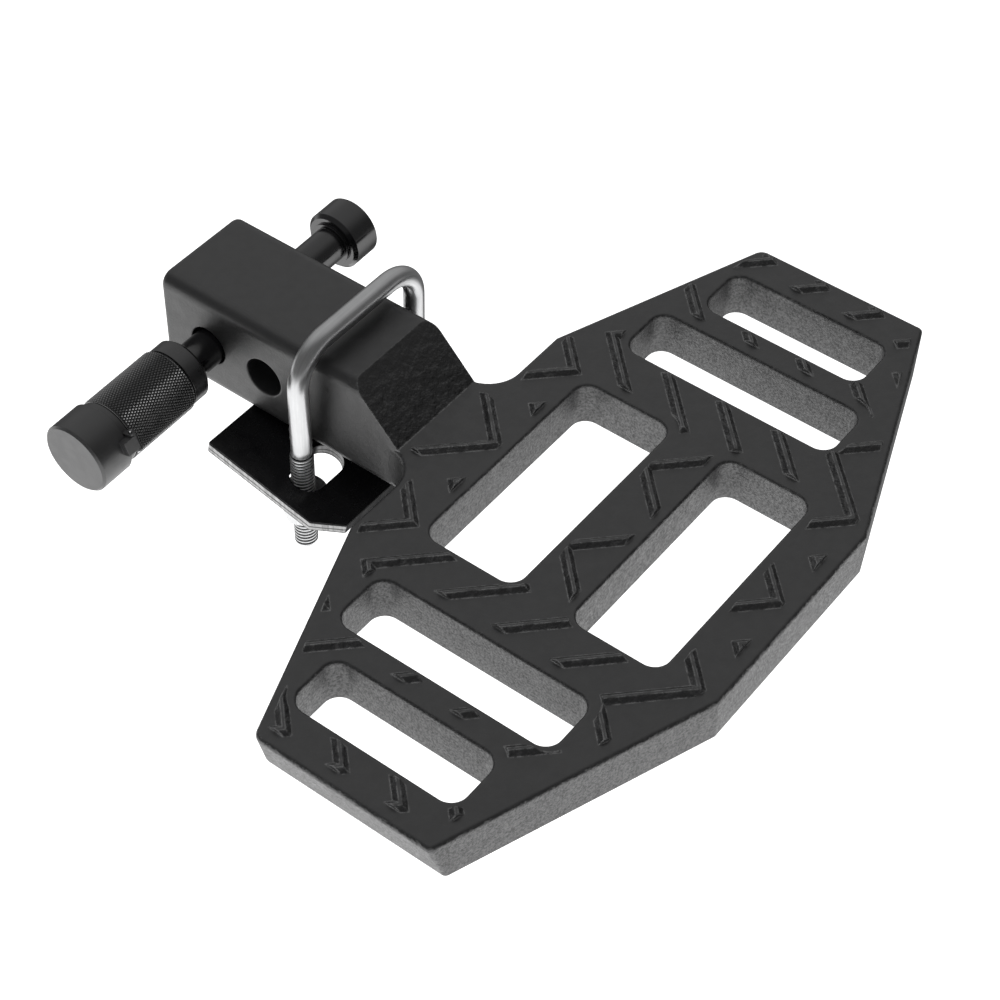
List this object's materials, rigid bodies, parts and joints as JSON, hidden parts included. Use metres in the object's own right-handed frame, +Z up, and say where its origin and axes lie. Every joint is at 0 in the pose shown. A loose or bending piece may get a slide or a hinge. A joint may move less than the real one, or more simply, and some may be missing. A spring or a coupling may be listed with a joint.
{
  "type": "hitch receiver step",
  "caption": "Bumper step on a square shank for a receiver tube, with a ribbed open tread, a locking pin and a U-bolt anti-rattle clamp.",
  "frame": {"origin": "centre of the pin hole in the square shank", "axes": "+X along the pin hole towards the pin's head, +Y along the shank towards its inner end, +Z up"},
  "size_m": [0.3348, 0.297, 0.1103],
  "materials": {
    "casting": "satin",
    "plate_paint": "gloss",
    "zinc_steel": "satin",
    "spring_steel": "satin",
    "bright_steel": "polished",
    "pin_paint": "gloss",
    "lock_paint": "satin",
    "sleeve_aluminium": "satin",
    "seal_rubber": "matte",
    "plug_brass": "satin",
    "cap_plastic": "matte"
  },
  "bodies": {
    "step": {"step_casting": "casting"},
    "u_bolt": {"u_bolt": "zinc_steel"},
    "plate": {"anti_rattle_plate": "plate_paint"},
    "washers_left": {"flat_washer_left": "zinc_steel", "spring_washer_left": "spring_steel"},
    "washers_right": {"flat_washer_right": "zinc_steel", "spring_washer_right": "spring_steel"},
    "nut_left": {"hex_nut_left": "zinc_steel"},
    "nut_right": {"hex_nut_right": "zinc_steel"},
    "pin": {"hitch_pin": "pin_paint"},
    "lock_barrel": {"lock_body": "lock_paint", "lock_sleeve": "sleeve_aluminium", "sleeve_circlip": "spring_steel", "pin_seal": "seal_rubber", "latch_spring": "spring_steel", "plug_retaining_pin": "bright_steel", "tether_ring": "cap_plastic", "cap_hinge_pin": "bright_steel"},
    "key_plug": {"lock_plug": "plug_brass", "wafer_1": "plug_brass", "wafer_2": "plug_brass", "wafer_3": "plug_brass", "wafer_4": "plug_brass", "wafer_5": "plug_brass"},
    "latch_upper": {"latch_dog_upper": "bright_steel"},
    "latch_lower": {"latch_dog_lower": "bright_steel"},
    "dust_cap": {"dust_cap": "cap_plastic"}
  },
  "joints": [
    {"name": "pin_slide", "type": "slide", "parent": "step", "child": "pin", "axis": [0.9996, 0, 0.0297], "range_m": [-0.028, 0.0135]},
    {"name": "lock_turn", "type": "hinge", "parent": "pin", "child": "lock_barrel", "pos_m": [0, 0, 0], "axis": [0.9996, 0, 0.0297], "continuous": true},
    {"name": "key_turn", "type": "hinge", "parent": "lock_barrel", "child": "key_plug", "pos_m": [0, 0, 0], "axis": [0.9996, 0, 0.0297], "range_deg": [0, 90]},
    {"name": "latch_upper_slide", "type": "slide", "parent": "lock_barrel", "child": "latch_upper", "axis": [-0.0297, 0, 0.9996], "range_m": [0, 0.0024], "deforming": ["latch_spring"]},
    {"name": "latch_lower_slide", "type": "slide", "parent": "lock_barrel", "child": "latch_lower", "axis": [0.0297, 0, -0.9996], "range_m": [0, 0.0024], "deforming": ["latch_spring"]},
    {"name": "cap_swing", "type": "hinge", "parent": "lock_barrel", "child": "dust_cap", "pos_m": [-0.08633, -0.01597, 0.00325], "axis": [-0.0279, 0.342, 0.9393], "range_deg": [0, 110]},
    {"name": "u_bolt_drop", "type": "slide", "parent": "step", "child": "u_bolt", "axis": [0, 0, 1], "range_m": [-0.0041, 0]},
    {"name": "plate_tilt", "type": "hinge", "parent": "u_bolt", "child": "plate", "pos_m": [0.0018, -0.0595, -0.03293], "axis": [1, 0, 0], "range_deg": [-20, 0]},
    {"name": "washers_left_slide", "type": "slide", "parent": "u_bolt", "child": "washers_left", "axis": [0, 0, 1], "range_m": [-0.0121, 0]},
    {"name": "nut_left_turn", "type": "hinge", "parent": "washers_left", "child": "nut_left", "pos_m": [-0.0352, -0.0585, -0.04924], "axis": [0, 0, 1], "range_deg": [-2400, 0]},
    {"name": "washers_right_slide", "type": "slide", "parent": "u_bolt", "child": "washers_right", "axis": [0, 0, 1], "range_m": [-0.0121, 0]},
    {"name": "nut_right_turn", "type": "hinge", "parent": "washers_right", "child": "nut_right", "pos_m": [0.0388, -0.0585, -0.04924], "axis": [0, 0, 1], "range_deg": [-2400, 0]}
  ],
  "couplings": [
    {"joint": "latch_upper_slide", "follows": "key_turn", "m_per_rad": 0.001527},
    {"joint": "latch_lower_slide", "follows": "key_turn", "m_per_rad": 0.001527},
    {"joint": "washers_left_slide", "follows": "nut_left_turn", "m_per_rad": 0.00028648},
    {"joint": "washers_right_slide", "follows": "nut_right_turn", "m_per_rad": 0.00028648}
  ]
}
